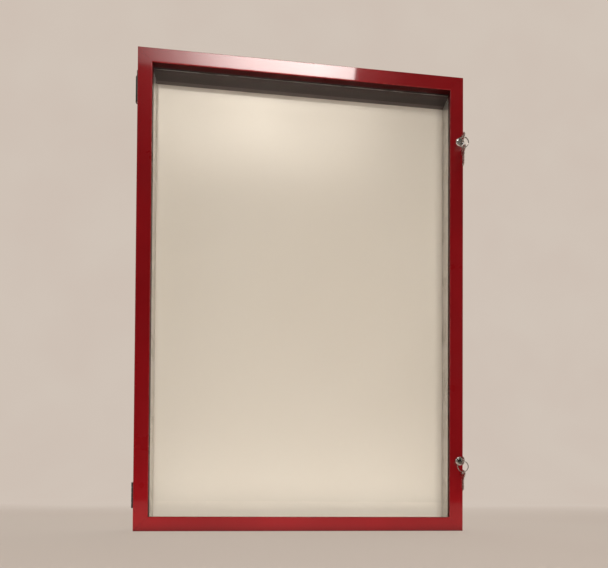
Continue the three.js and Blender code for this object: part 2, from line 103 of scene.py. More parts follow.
def rounded(corners, radii, steps=6):
    """A closed outline with an arc at each corner, tangent to its two sides: the arc's centre is one radius
    off the first side, and its points turn evenly by the corner's angle. Also how far each point is into its
    arc, as the sine of half a turn: 0 where the arc meets a side and 1 in its middle."""
    p = np.asarray(corners, float)
    r = np.broadcast_to(np.asarray(radii, float), len(p))[:, None]
    before, after = unit(p - np.roll(p, 1, 0)), unit(np.roll(p, -1, 0) - p)
    angle = np.arctan2((across(before) * after).sum(-1), (before * after).sum(-1))[:, None]
    start = p - before * r * np.tan(abs(angle) / 2)
    inward = np.sign(angle) * across(before)
    t = np.linspace(0, 1, steps + 1)
    c, s = np.cos(angle * t)[..., None], np.sin(angle * t)[..., None]
    turned = inward[:, None] * c + across(inward)[:, None] * s
    points = (start + inward * r)[:, None] - turned * r[:, None]
    return points.reshape(-1, 2), np.tile(np.sin(np.pi * t), len(p))


def grid_faces(rows, columns, wrap_rows=False, wrap_columns=True):
    """The four-sided faces of a grid of points that is numbered row by row."""
    i = np.arange(rows if wrap_rows else rows - 1)[:, None]
    j = np.arange(columns if wrap_columns else columns - 1)[None]
    a, b = i * columns + j, i * columns + (j + 1) % columns
    up = ((i + 1) % rows - i) * columns
    return np.stack([a, b, b + up, a + up], -1).reshape(-1, 4).tolist()


def end_faces(rows, columns):
    """The two faces that close the ends of a carried section, wound as grid_faces winds its sides."""
    return [list(range(columns - 1, -1, -1)), list(range((rows - 1) * columns, rows * columns))]


def make_piece(name, body, slot, finish, points, faces, stands_for=(), crease=35, **attributes):
    """A closed mesh at its place, its faces turned outwards by the sign of its volume, on its body."""
    mesh = bpy.data.meshes.new(name)
    mesh.from_pydata(np.asarray(points, float), [], faces)
    mesh.calc_loop_triangles()
    corners = np.zeros(len(mesh.loop_triangles) * 3, np.int32)
    mesh.loop_triangles.foreach_get("vertices", corners)
    a, b, c = np.asarray(points, float)[corners.reshape(-1, 3)].transpose(1, 0, 2)
    if (a * np.cross(b, c)).sum() < 0:
        mesh.flip_normals()
    for key, values in attributes.items():
        mesh.attributes.new(key, "FLOAT", "POINT").data.foreach_set("value", np.asarray(values, np.float32))
    mesh.shade_smooth()
    mesh.set_sharp_from_angle(angle=math.radians(crease))
    mesh.materials.append(finish)
    made = bpy.data.objects.new(name, mesh)
    scene.collection.objects.link(made)
    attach(made, body)
    if stands_for:
        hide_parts(*stands_for)
    return made


def mitred_bar(side, section, radii, steps=6):
    """A section of corners (inset, y) carried along one side of the frame, each point running on until it
    meets the mitre plane at its own inset. Points, faces, and what the finish needs: how far along the bar
    and how far round its section each point lies, how far into an arris, and its inset."""
    arcs, arris = rounded(section, radii, steps)
    arcs = arcs.reshape(len(section), -1, 2)

    def beside(points, others):
        """A point just off each arc, on the flat, so that the flat is shaded flat."""
        away = others - points
        reach = np.linalg.norm(away, axis=1, keepdims=True)
        return (points + away / reach * np.minimum(0.25 * mm, 0.3 * reach))[:, None]

    outline = np.concatenate([
        beside(arcs[:, 0], np.roll(arcs[:, -1], 1, 0)), arcs,
        beside(arcs[:, -1], np.roll(arcs[:, 0], -1, 0))], 1).reshape(-1, 2)
    arris = np.pad(arris.reshape(len(section), -1), ((0, 0), (1, 1))).ravel()
    inset, y = outline.T
    halves = np.array([-1, 1])[:, None]
    if side in ("top", "bottom"):
        x = (left + right) / 2 + halves * ((right - left) / 2 - inset - mitre_gap)
        z = np.broadcast_to(top - inset if side == "top" else bottom + inset, x.shape)
        along = x
    else:
        z = (bottom + top) / 2 + halves * ((top - bottom) / 2 - inset - mitre_gap)
        x = np.broadcast_to(right - inset if side == "right" else left + inset, z.shape)
        along = z
    points = np.stack([x, np.broadcast_to(y, x.shape), z], -1).reshape(-1, 3)
    n = len(outline)
    around = np.append(0, np.linalg.norm(np.diff(outline, axis=0), axis=1).cumsum())
    faces = grid_faces(2, n) + end_faces(2, n)
    lay = dict(along=along.ravel(), around=np.tile(around, 2), arris=np.tile(arris, 2),
               inset=np.tile(inset, 2))
    return points, faces, lay


def turned_solid(profile, centre, axis, segments=96, dent=None):
    """A profile (radius, height) turned about an axis through centre. A profile from axis to axis closes in
    two poles, and any other closes on itself, as a ring does. A dent raises each point by what it gives for
    the point's two distances from the axis."""
    u, v, w = {"x": np.eye(3)[[1, 2, 0]], "y": np.eye(3)[[2, 0, 1]], "z": np.eye(3)}[axis]
    profile = np.asarray(profile, float)
    polar = profile[0, 0] < 1e-9
    rings = profile[1:-1] if polar else profile
    angle = np.linspace(0, 2 * np.pi, segments, endpoint=False)
    p, q = rings[:, :1] * np.cos(angle), rings[:, :1] * np.sin(angle)
    height = np.broadcast_to(rings[:, 1:], p.shape)
    if dent is not None:
        height = height + dent(p, q)
    points = (p[..., None] * u + q[..., None] * v + height[..., None] * w).reshape(-1, 3)
    faces = grid_faces(len(rings), segments, wrap_rows=not polar)
    if polar:
        tips = profile[[0, -1], 1] + (0 if dent is None else dent(np.zeros(2), np.zeros(2)) * [1, 0])
        first, last = len(points), len(points) + 1
        points = np.concatenate([points, tips[:, None] * w])
        j = np.arange(segments)
        rim = (len(rings) - 1) * segments
        faces += np.stack([np.full(segments, first), (j + 1) % segments, j], -1).tolist()
        faces += np.stack([np.full(segments, last), rim + j, rim + (j + 1) % segments], -1).tolist()
    return points + np.asarray(centre, float), faces


def bevelled_plate(loops, low, high, bevel, place):
    """A flat outline, counterclockwise, with clockwise holes, made thick from low to high. Each loop has four
    rings, and the outer two are drawn into the material by the bevel, along each corner's bisector. place
    turns (p, q, height) into a point."""
    loops = [np.asarray(loop, float) for loop in loops]
    start = np.cumsum([0] + [len(loop) for loop in loops])
    flat = np.concatenate(loops)
    drawn = []
    for loop in loops:
        n1 = across(unit(loop - np.roll(loop, 1, 0)))
        n2 = across(unit(np.roll(loop, -1, 0) - loop))
        drawn.append(loop + bevel * (n1 + n2) / (1 + (n1 * n2).sum(-1, keepdims=True)))
    drawn = np.concatenate(drawn)
    levels = [(drawn, low), (flat, low + bevel), (flat, high - bevel), (drawn, high)]
    points = np.concatenate([np.column_stack([ring, np.full(len(ring), h)]) for ring, h in levels])
    n, faces = len(flat), []
    for k, loop in enumerate(loops):
        j = np.arange(len(loop)) + start[k]
        after = np.roll(j, -1)
        for level in range(3):
            a, b = level * n, (level + 1) * n
            faces += np.stack([a + j, a + after, b + after, b + j], -1).tolist()
    filled = np.array(tessellate_polygon(
        [[Vector((*xy, 0)) for xy in drawn[start[k]:start[k + 1]]] for k in range(len(loops))]))
    a, b, c = drawn[filled].transpose(1, 0, 2)
    clockwise = (across(b - a) * (c - a)).sum(-1) < 0
    filled[clockwise] = filled[clockwise][:, ::-1]
    faces += filled[:, ::-1].tolist() + (filled + 3 * n).tolist()
    return place(points), faces


def circle(p, q, radius, count=48, clockwise=False):
    angle = np.linspace(0, 2 * np.pi, count, endpoint=False) * (-1 if clockwise else 1)
    return np.column_stack([p + radius * np.cos(angle), q + radius * np.sin(angle)])


# ---- finishes ----

class Finish:
    """A material and short ways to add its nodes."""

    def __init__(self, name):
        self.material = bpy.data.materials.new(name)
        self.material.use_nodes = True
        self.tree = self.material.node_tree
        self.shader = self.tree.nodes["Principled BSDF"]
        self.places = self.node("ShaderNodeTexCoord").outputs["Object"]

    def node(self, kind, inputs=None, **settings):
        made = self.tree.nodes.new(kind)
        for key, value in settings.items():
            setattr(made, key, value)
        for key, value in (inputs or {}).items():
            if isinstance(value, bpy.types.NodeSocket):
                self.tree.links.new(value, made.inputs[key])
            else:
                made.inputs[key].default_value = value
        return made

    def set(self, **values):
        for key, value in values.items():
            socket = self.shader.inputs[key.replace("_", " ")]
            if isinstance(value, bpy.types.NodeSocket):
                self.tree.links.new(value, socket)
            else:
                socket.default_value = (*value, 1) if isinstance(value, tuple) and len(value) == 3 else value

    def attribute(self, name):
        return self.node("ShaderNodeAttribute", attribute_name=name).outputs["Fac"]

    def noise(self, scale, places=None, detail=3.0, roughness=0.55):
        return self.node("ShaderNodeTexNoise", {
            "Vector": places or self.places, "Scale": scale, "Detail": detail, "Roughness": roughness,
        }).outputs["Fac"]

    def stretched(self, scale):
        """Object places, stretched by a scale of each axis."""
        return self.node("ShaderNodeMapping", {"Vector": self.places, "Scale": scale}).outputs["Vector"]

    def ramp(self, value, low, high, out_low=0.0, out_high=1.0):
        return self.node("ShaderNodeMapRange", {
            "Value": value, "From Min": low, "From Max": high, "To Min": out_low, "To Max": out_high,
        }).outputs["Result"]

    def maths(self, operation, a, b):
        return self.node("ShaderNodeMath", {0: a, 1: b}, operation=operation).outputs[0]

    def mix(self, factor, a, b):
        made = self.node("ShaderNodeMix", {"Factor": factor}, data_type="RGBA")
        for k, colour in ((6, a), (7, b)):
            if isinstance(colour, bpy.types.NodeSocket):
                self.tree.links.new(colour, made.inputs[k])
            else:
                made.inputs[k].default_value = (*colour, 1)
        return made.outputs[2]

    def bump(self, height, strength, distance):
        made = self.node("ShaderNodeBump", {"Height": height, "Strength": strength, "Distance": distance})
        self.set(Normal=made.outputs["Normal"])


def gloss_red_paint():
    """Gloss enamel with a slight orange peel, thinner and duller along the arrises. Inside the bars, and on
    the edge that runs back to the glazing, it has no clear gloss layer, and painted shade darkens its colour."""
    f = Finish("gloss_red_paint")
    patches = f.ramp(f.noise(4.0, detail=2.0), 0.35, 0.65)
    base = f.mix(patches, (0.178, 0.0030, 0.0052), (0.210, 0.0040, 0.0066))
    rubbed = f.maths("MULTIPLY", f.attribute("arris"), f.ramp(f.noise(90.0, detail=5.0), 0.46, 0.62))
    base = f.mix(f.maths("MULTIPLY", rubbed, 0.6), base, (0.34, 0.036, 0.036))
    # painted shade: where this mask is 1, on the returns and inside the bars, the base colour is darkened to
    # near black-red and the gloss layer is left off
    flat = f.attribute("flat_coat")
    f.set(Base_Color=f.mix(f.maths("MULTIPLY", flat, 0.8), base, (0.010, 0.003, 0.003)))
    smears = f.ramp(f.noise(14.0, detail=4.0), 0.3, 0.7, 0.26, 0.36)
    f.set(Roughness=f.maths("ADD", smears, f.maths("MULTIPLY", rubbed, 0.15)))
    f.set(Coat_Weight=f.maths("SUBTRACT", 1.0, flat))
    f.set(Specular_IOR_Level=0.1, Coat_Roughness=0.05, Coat_IOR=1.42)
    f.bump(f.noise(330.0, detail=1.5), 0.05, 0.1 * mm)
    return f.material


def satin_aluminium():
    """Extruded aluminium: fine drawn lines that run along the bar, and cloudy handling marks. Where a bar has
    painted shade, a dull dark grainy colour covers it, with painted bounce light in a paler strip by the
    panel."""
    f = Finish("satin_aluminium")
    drawn = f.node("ShaderNodeCombineXYZ", {
        "X": f.maths("MULTIPLY", f.attribute("along"), 5.0),
        "Y": f.maths("MULTIPLY", f.attribute("around"), 1500.0)}).outputs[0]
    lines = f.noise(1.0, places=drawn, detail=4.0, roughness=0.7)
    clouds = f.noise(9.0, detail=3.0)
    tone = f.maths("ADD", f.maths("MULTIPLY", lines, 0.55), f.maths("MULTIPLY", clouds, 0.45))
    bare = f.mix(f.ramp(tone, 0.35, 0.65), (0.68, 0.655, 0.625), (0.75, 0.725, 0.695))
    lined = f.attribute("lined")
    # painted shade: a near-black grainy colour for the shaded face, not metallic and duller
    coat = f.mix(f.ramp(f.noise(420.0, detail=3.0), 0.35, 0.65), (0.032, 0.022, 0.021), (0.048, 0.035, 0.034))
    depth = f.node("ShaderNodeSeparateXYZ", {0: f.places}).outputs["Y"]
    # painted bounce light: the strip nearest the panel is made paler
    rear = f.ramp(depth, rebate_back - 8.2 * mm, rebate_back - 7.8 * mm)
    coat = f.mix(rear, coat, (0.125, 0.100, 0.095))
    f.set(Base_Color=f.mix(lined, bare, coat))
    f.set(Metallic=f.maths("MULTIPLY", f.maths("SUBTRACT", 1.0, lined), 0.85))
    satin = f.ramp(f.maths("ADD", lines, clouds), 0.6, 1.4, 0.24, 0.32)
    f.set(Roughness=f.maths("MAXIMUM", satin, f.maths("MULTIPLY", lined, 0.55)))
    f.bump(lines, 0.05, 0.03 * mm)
    return f.material


def white_panel():
    """Stove-enamelled sheet, warm white, semi-gloss, with a fine texture and faint pin marks."""
    f = Finish("white_enamel_sheet")
    clouds = f.ramp(f.noise(2.2, detail=2.0), 0.3, 0.7)
    base = f.mix(clouds, (0.830, 0.742, 0.655), (0.860, 0.775, 0.690))
    specks = f.ramp(f.noise(160.0, detail=2.0), 0.70, 0.78, 0.0, 0.10)
    f.set(Base_Color=f.mix(specks, base, (0.62, 0.55, 0.48)))
    f.set(Roughness=f.ramp(f.noise(12.0, detail=4.0), 0.3, 0.7, 0.42, 0.52), Specular_IOR_Level=0.15)
    f.bump(f.noise(700.0, detail=2.0), 0.08, 0.05 * mm)
    return f.material


def clear_glazing():
    """Clear sheet with faint wiping marks. Lamps and light sent back by plain surfaces pass straight through
    it, so that it casts no black shadow."""
    f = Finish("clear_glazing")
    wiped = f.noise(1.0, places=f.stretched((14.0, 1.0, 34.0)), detail=3.0)
    f.set(Base_Color=(0.975, 0.985, 0.978), Transmission_Weight=1.0, IOR=1.49)
    f.set(Roughness=f.ramp(wiped, 0.60, 0.85, 0.0, 0.035))
    clear = f.node("ShaderNodeBsdfTransparent", {"Color": (0.93, 0.94, 0.935, 1)})
    surface = f.shader
    for ray in ("Is Diffuse Ray", "Is Shadow Ray"):
        passing = f.node("ShaderNodeLightPath").outputs[ray]
        surface = f.node("ShaderNodeMixShader", {0: passing, 1: surface.outputs[0], 2: clear.outputs[0]})
    f.tree.links.new(surface.outputs[0], f.tree.nodes["Material Output"].inputs["Surface"])
    return f.material


def black_hinge_steel():
    """Black-coated steel: a fine powder texture, with greyer metal where it rubs."""
    f = Finish("black_coated_steel")
    rub = f.ramp(f.noise(140.0, detail=5.0), 0.58, 0.72)
    f.set(Base_Color=f.mix(f.maths("MULTIPLY", rub, 0.5), (0.013, 0.012, 0.012), (0.060, 0.056, 0.052)))
    f.set(Metallic=0.25, Roughness=f.ramp(f.noise(60.0, detail=4.0), 0.3, 0.7, 0.36, 0.56))
    f.bump(f.noise(1600.0, detail=2.0), 0.18, 0.04 * mm)
    return f.material


def bright_chrome():
    """Chrome plate with light haze and a few hairline scuffs."""
    f = Finish("bright_chrome")
    haze = f.noise(180.0, detail=4.0)
    scuffs = f.noise(1.0, places=f.stretched((900.0, 900.0, 90.0)), detail=3.0)
    f.set(Base_Color=f.mix(haze, (0.78, 0.775, 0.76), (0.86, 0.855, 0.84)), Metallic=1.0)
    f.set(Roughness=f.ramp(f.maths("MULTIPLY", haze, scuffs), 0.15, 0.40, 0.04, 0.14))
    f.bump(scuffs, 0.05, 0.01 * mm)
    return f.material


def key_nickel():
    """Nickel-plated brass, tumbled: soft scratches both ways, and warmer metal where the plate is thin."""
    f = Finish("key_nickel")
    one = f.noise(1.0, places=f.stretched((500.0, 60.0, 1400.0)), detail=3.0)
    other = f.noise(1.0, places=f.stretched((500.0, 1400.0, 60.0)), detail=3.0)
    worn = f.ramp(f.noise(220.0, detail=4.0), 0.60, 0.75)
    plate = f.mix(worn, (0.56, 0.545, 0.51), (0.60, 0.50, 0.33))
    f.set(Base_Color=plate, Metallic=1.0)
    f.set(Roughness=f.ramp(f.maths("ADD", one, other), 0.7, 1.3, 0.16, 0.34))
    f.bump(f.maths("ADD", one, other), 0.06, 0.02 * mm)
    return f.material


def zinc_plate():
    """Passivated zinc: cloudy, with a faint yellow and blue cast."""
    f = Finish("zinc_plate")
    cast = f.ramp(f.noise(55.0, detail=3.0), 0.35, 0.65)
    f.set(Base_Color=f.mix(cast, (0.47, 0.48, 0.50), (0.56, 0.53, 0.45)), Metallic=0.95)
    f.set(Roughness=f.ramp(f.noise(260.0, detail=4.0), 0.3, 0.7, 0.30, 0.50))
    f.bump(f.noise(900.0, detail=3.0), 0.10, 0.03 * mm)
    return f.material


def black_rubber():
    """Matt rubber with a fine grain and dusty patches."""
    f = Finish("black_rubber")
    dust = f.ramp(f.noise(35.0, detail=5.0), 0.45, 0.75, 0.0, 0.35)
    f.set(Base_Color=f.mix(dust, (0.011, 0.011, 0.012), (0.045, 0.043, 0.040)))
    f.set(Roughness=f.ramp(f.noise(90.0), 0.3, 0.7, 0.62, 0.80))
    f.bump(f.noise(1100.0, detail=2.0), 0.25, 0.05 * mm)
    return f.material


def grey_plastic():
    """Extruded plastic strip: faint flow lines and a satin skin."""
    f = Finish("grey_plastic")
    flow = f.noise(1.0, places=f.stretched((9.0, 700.0, 9.0)), detail=3.0)
    f.set(Base_Color=f.mix(flow, (0.080, 0.082, 0.090), (0.115, 0.117, 0.125)))
    f.set(Roughness=f.ramp(f.noise(40.0, detail=4.0), 0.3, 0.7, 0.46, 0.62), IOR=1.46)
    f.bump(flow, 0.10, 0.05 * mm)
    return f.material


red, aluminium, panel, glazing = gloss_red_paint(), satin_aluminium(), white_panel(), clear_glazing()
black, chrome, nickel = black_hinge_steel(), bright_chrome(), key_nickel()
zinc, rubber, plastic = zinc_plate(), black_rubber(), grey_plastic()


def dress(finish, *names):
    """Gives CAD nodes their finish."""
    for name in names:
        mesh = nodes[name].data
        mesh.materials.clear()
        mesh.materials.append(finish)


corners = [f"{v}_{h}" for v in ("top", "bottom") for h in ("left", "right")]
dress(panel, "back_panel")
dress(glazing, "door_glazing")
dress(zinc, *[f"{part}_corner_key_{corner}" for part in ("case", "door") for corner in corners])
dress(chrome, *[f"{end}_lock_plug" for end in ends])
dress(zinc, *[f"{end}_{part}" for end in ends
              for part in ("lock_clip", "lock_cam", "cam_screw", "strike", "strike_rivet")])


# ---- case and door bars ----

def cut_out(piece, cutters):
    """Cuts closed solids out of a piece, and keeps the result as the piece's own mesh."""
    for points, faces in cutters:
        mesh = bpy.data.meshes.new("cutter")
        mesh.from_pydata(points, [], faces)
        cutter = bpy.data.objects.new("cutter", mesh)
        scene.collection.objects.link(cutter)
        step = piece.modifiers.new("cut", "BOOLEAN")
        step.operation, step.solver, step.object = "DIFFERENCE", "EXACT", cutter
        evaluated = piece.evaluated_get(bpy.context.evaluated_depsgraph_get())
        cut = bpy.data.meshes.new_from_object(evaluated)
        piece.modifiers.clear()
        piece.data = cut
        cut.name = piece.name
        bpy.data.objects.remove(cutter)
    piece.data.shade_smooth()
    piece.data.set_sharp_from_angle(angle=math.radians(35))


def keyhole_cutter(x):
    """A round entry with a narrower slot that runs up from it, right through the top rail's back wall. The
    outline is the entry's arc, which stops where it meets the slot's sides, and the slot's round end."""
    end_z, drop, entry, slot = top - 5 * mm, 6 * mm, 4.6 * mm, 2.4 * mm
    entry_z = end_z - drop
    neck = math.asin(slot / entry)
    low = np.linspace(np.pi / 2 + neck, 2.5 * np.pi - neck, 40)
    high = np.linspace(0, np.pi, 20)
    outline = np.concatenate([
        np.column_stack([x + entry * np.cos(low), entry_z + entry * np.sin(low)]),
        np.column_stack([x + slot * np.cos(high), end_z + slot * np.sin(high)])])
    place = lambda p: np.column_stack([p[:, 0], -p[:, 2], p[:, 1]])
    return bevelled_plate([outline], -3 * mm, 3 * mm, 0.01 * mm, place)


case_section = [
    (0, 0), (rebate_inset, 0), (rebate_inset, rebate_back), (case_face, rebate_back),
    (case_face, case_front), (case_face - case_wall, case_front),
    (case_face - case_wall, rebate_back - case_wall), (rebate_inset - case_wall, rebate_back - case_wall),
    (rebate_inset - case_wall, -case_wall), (case_wall, -case_wall), (case_wall, case_front), (0, case_front)]
case_radii = np.array([0.8, 0.4, 0.4, 0.5, 0.6, 0.3, 0.5, 0.3, 0.3, 0.5, 0.3, 0.6]) * mm
door_section = [
    (0, door_front), (door_face, door_front), (door_face, ledge_back), (ledge_inset, ledge_back),
    (ledge_inset, door_back), (ledge_inset - door_wall, door_back),
    (ledge_inset - door_wall, ledge_back - door_wall), (door_face - door_wall, ledge_back - door_wall),
    (door_face - door_wall, door_front + door_wall), (door_wall, door_front + door_wall),
    (door_wall, door_back), (0, door_back)]
door_radii = np.array([1.5, 1.5, 0.4, 0.4, 0.5, 0.3, 0.4, 0.4, 0.4, 0.4, 0.3, 0.5]) * mm


def lock_bore(end):
    """A round cutter through the stile's front wall, just wider than the lock's barrel."""
    a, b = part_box(f"{end}_lock_housing")
    radius, front, back = 8.3 * mm, door_front - 2 * mm, door_front + 3 * mm
    profile = [(0, front), (radius, front), (radius, back), (0, back)]
    return turned_solid(profile, ((a.x + b.x) / 2, 0, (a.z + b.z) / 2), "y", 64)


def strip_section(node):
    """The section of a plain strip on the left side, from its own box."""
    a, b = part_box(node)
    near, far = a.x - left, b.x - left
    return [(near, a.y), (far, a.y), (far, b.y), (near, b.y)]


def case_bar(side, bar):
    """One grey bar of the case. The top rail's inner face gets painted shade, and its back wall has both
    keyholes.
    """
    points, faces, lay = mitred_bar(side, case_section, case_radii)
    # painted shade: only the top rail's inner face, which looks down, is marked to be darkened
    inner = (abs(points[:, 2] - (top - case_face)) < 0.05 * mm) & (side == "top")
    made = make_piece(f"grey_{bar}", "root", "case_aluminium", aluminium, points, faces, [f"case_{bar}"],
                      along=lay["along"], around=lay["around"], lined=inner)
    if side == "top":
        cut_out(made, [keyhole_cutter(-keyhole_offset), keyhole_cutter(keyhole_offset)])


def door_bar(side, bar):
    """One red bar of the door, flat-coated and darkened with painted shade behind its front arrises, apart
    from its outer side.
    """
    points, faces, lay = mitred_bar(side, door_section, door_radii, steps=8)
    # painted shade: the faces behind the front arrises, off the outer side, are marked to be darkened
    flat = (points[:, 1] > door_front + 1.4 * mm) & (lay["inset"] > 1 * mm)
    made = make_piece(f"red_{bar}", "door", "red_paint", red, points, faces, [f"door_{bar}"],
                      arris=lay["arris"], flat_coat=flat)
    if side == "right":
        cut_out(made, [lock_bore(end) for end in ends])


def strip(side, name, node, body, slot, finish, radius, steps):
    """One side of a plain strip that runs round the frame."""
    points, faces, _ = mitred_bar(side, strip_section(f"{node}_left"), radius, steps)
    make_piece(f"{name}_{side}", body, slot, finish, points, faces, [f"{node}_{side}"])


keyhole_offset = 0.25
for side, upright in (("top", False), ("bottom", False), ("left", True), ("right", True)):
    case_bar(side, f"{side}_side" if upright else f"{side}_rail")
    door_bar(side, f"{side}_stile" if upright else f"{side}_rail")
    strip(side, "panel_strip", "panel_retainer", "root", "grey_plastic", plastic, 0.5 * mm, 4)
    strip(side, "rubber_bead", "glazing_bead", "door", "black_rubber", rubber, 1.2 * mm, 6)


# ---- hinges ----

def cross_recess(radius, depth, width):
    """How deep a cross-shaped recess is at a point: two crossed slots that fade out towards the rim. Each
    slot's depth falls evenly to nothing between half its width and its width from its middle line."""
    def dent(p, q):
        far = np.clip((radius - np.hypot(p, q)) / (0.35 * radius), 0, 1)
        slots = np.maximum(np.clip((width - abs(p)) / (0.5 * width), 0, 1),
                           np.clip((width - abs(q)) / (0.5 * width), 0, 1))
        return depth * far * slots
    return dent


def hinge_screw(end, part, k):
    """A head with a low elliptical dome, into which a cross recess is pressed, and a pointed shank: a profile
    turned about the screw's axis. The recess moves only the head's rings and its pole."""
    node = f"{end}_hinge_{part}_screw_{k}"
    a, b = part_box(node)
    head_radius, head_height, shank_radius, taper = 3.6 * mm, 2 * mm, 1.8 * mm, 0.6 * mm
    seat = a.x + head_height
    dome = np.linspace(0, np.pi / 2, 26)
    head = np.column_stack([head_radius * np.sin(dome), a.x + 0.6 * head_height * (1 - np.cos(dome))])
    shank = np.array([[head_radius, seat], [shank_radius, seat], [shank_radius, b.x - taper],
                      [shank_radius / 2, b.x], [0, b.x]])
    profile = np.concatenate([head, shank])
    recess = cross_recess(2.3 * mm, 1.0 * mm, 0.42 * mm)
    in_head = np.arange(len(profile) - 2)[:, None] < len(head) - 1

    def dent(p, q):
        return recess(p, q) * in_head if p.ndim == 2 else recess(p, q)

    points, faces = turned_solid(profile, (0, (a.y + b.y) / 2, (a.z + b.z) / 2), "x", 48, dent)
    body = "root" if part == "case" else "door"
    make_piece(f"{end}_{part}_hinge_screw_{k}", body, "hinge_black", black, points, faces, [node], crease=40)


def hinge_leaf(end, part):
    """A leaf's plate with softened edges and two screw holes, and its knuckles: a barrel section that runs on
    into the plate, given a knuckle's length each."""
    node = f"{end}_hinge_{part}_leaf"
    a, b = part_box(node)
    pin_low, pin_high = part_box(f"{end}_hinge_pin")
    pin_x, pin_y = (pin_low.x + pin_high.x) / 2, (pin_low.y + pin_high.y) / 2
    towards = 1 if part == "case" else -1
    length, plate, screw_in, screw_off = 58 * mm, 2 * mm, 12 * mm, 18 * mm
    middle = (a.z + b.z) / 2
    low, high = middle - length / 2, middle + length / 2
    reach = max(abs(a.y - pin_y), abs(b.y - pin_y))
    start = math.sqrt(5.3 ** 2 - 3.3 ** 2) * mm + 0.3 * mm
    outline, _ = rounded([(start, low), (reach, low), (reach, high), (start, high)],
                         np.array([0.5, 2.5, 2.5, 0.5]) * mm, 8)
    holes = [circle(screw_in, middle + off, 2.1 * mm, 40, True) for off in (screw_off, -screw_off)]
    place = lambda p: np.column_stack([left - p[:, 2], pin_y + towards * p[:, 0], p[:, 1]])
    parts = [bevelled_plate([outline] + holes, 0, plate, 0.35 * mm, place)]
    # the barrel's outline across the pin, measured from it: round, with a flat tongue as thick as the plate
    # that leaves it along the case's side
    gap, count, radius, bore = 0.3 * mm, 5, 5 * mm, 2.6 * mm
    near, far = -(pin_x - left) - plate, -(pin_x - left)
    angle = np.linspace(math.pi / 2 - 0.001, 2 * math.pi + math.asin(near / radius), 60)
    barrel = np.column_stack([radius * np.cos(angle), radius * np.sin(angle)])
    tongue = np.array([[start + 1 * mm, near], [start + 1 * mm, far], [0.0, far]])
    knuckle = [np.concatenate([barrel, tongue]), circle(0, 0, bore, 48, True)]
    each = (length - (count - 1) * gap) / count
    place = lambda p: np.column_stack([pin_x + p[:, 1], pin_y + towards * p[:, 0], p[:, 2]])
    for k in range(0 if towards > 0 else 1, count, 2):
        base = low + k * (each + gap)
        parts.append(bevelled_plate(knuckle, base, base + each, 0.3 * mm, place))
    shift, all_points, all_faces = 0, [], []
    for points, faces in parts:
        all_points.append(points)
        all_faces += [[i + shift for i in face] for face in faces]
        shift += len(points)
    make_piece(f"{end}_{part}_leaf", "root" if part == "case" else "door", "hinge_black", black,
               np.concatenate(all_points), all_faces, [node], crease=30)


def hinge_pin(end):
    """A round pin with a domed head and a chamfered foot."""
    node = f"{end}_hinge_pin"
    a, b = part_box(node)
    x, y = (a.x + b.x) / 2, (a.y + b.y) / 2
    radius, head_radius, chamfer = 2.3 * mm, 3.4 * mm, 0.5 * mm
    head = b.z - 1.6 * mm
    dome = np.linspace(0, np.pi / 2, 14)
    profile = np.concatenate([
        [[0, a.z], [radius - chamfer, a.z], [radius, a.z + chamfer], [radius, head],
         [head_radius - 0.2 * mm, head], [head_radius, head + 0.2 * mm]],
        np.column_stack([head_radius * np.cos(dome), head + 0.3 * mm + 1.3 * mm * np.sin(dome)])[:-1],
        [[0, b.z]]])
    points, faces = turned_solid(profile, (x, y, 0), "z", 64)
    make_piece(f"{end}_pin", "root", "zinc_steel", zinc, points, faces, [node])


for end in ends:
    for part in ("case", "door"):
        hinge_leaf(end, part)
        for k in (1, 2):
            hinge_screw(end, part, k)
    hinge_pin(end)


# ---- locks and keys ----

def lock_housing(end):
    """The turned housing: a proud bezel with a rounded rim and a fine groove round its face, a step behind
    it, and the barrel with its clip groove. Its profile is given as corners (radius, y, rounding)."""
    node = f"{end}_lock_housing"
    a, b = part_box(node)
    face, rear, seat = a.y, b.y, door_front - 0.05 * mm
    bore, barrel, neck, bezel = 5.3 * mm, 8 * mm, 6.7 * mm, 10.2 * mm
    clip_front, clip_back = door_front + door_wall, door_front + door_wall + 2.1 * mm
    groove_floor = face + 0.3 * mm
    corners = np.array([
        (bore, face, 0.4 * mm), (7.0 * mm, face, 0.1 * mm), (7.25 * mm, groove_floor, 0.08 * mm),
        (7.65 * mm, groove_floor, 0.08 * mm), (7.9 * mm, face, 0.1 * mm), (bezel, face, 2.2 * mm),
        (bezel, seat, 0.2 * mm), (barrel, seat, 0.05 * mm), (barrel, clip_front, 0.1 * mm),
        (neck, clip_front, 0.1 * mm), (neck, clip_back, 0.1 * mm), (barrel, clip_back, 0.1 * mm),
        (barrel, rear, 0.5 * mm), (bore, rear, 0.3 * mm)])
    profile, _ = rounded(corners[:, :2], corners[:, 2], 8)
    points, faces = turned_solid(profile, ((a.x + b.x) / 2, 0, (a.z + b.z) / 2), "y", 128)
    make_piece(f"{end}_lock_body", "door", "chrome", chrome, points, faces, [node], crease=30)


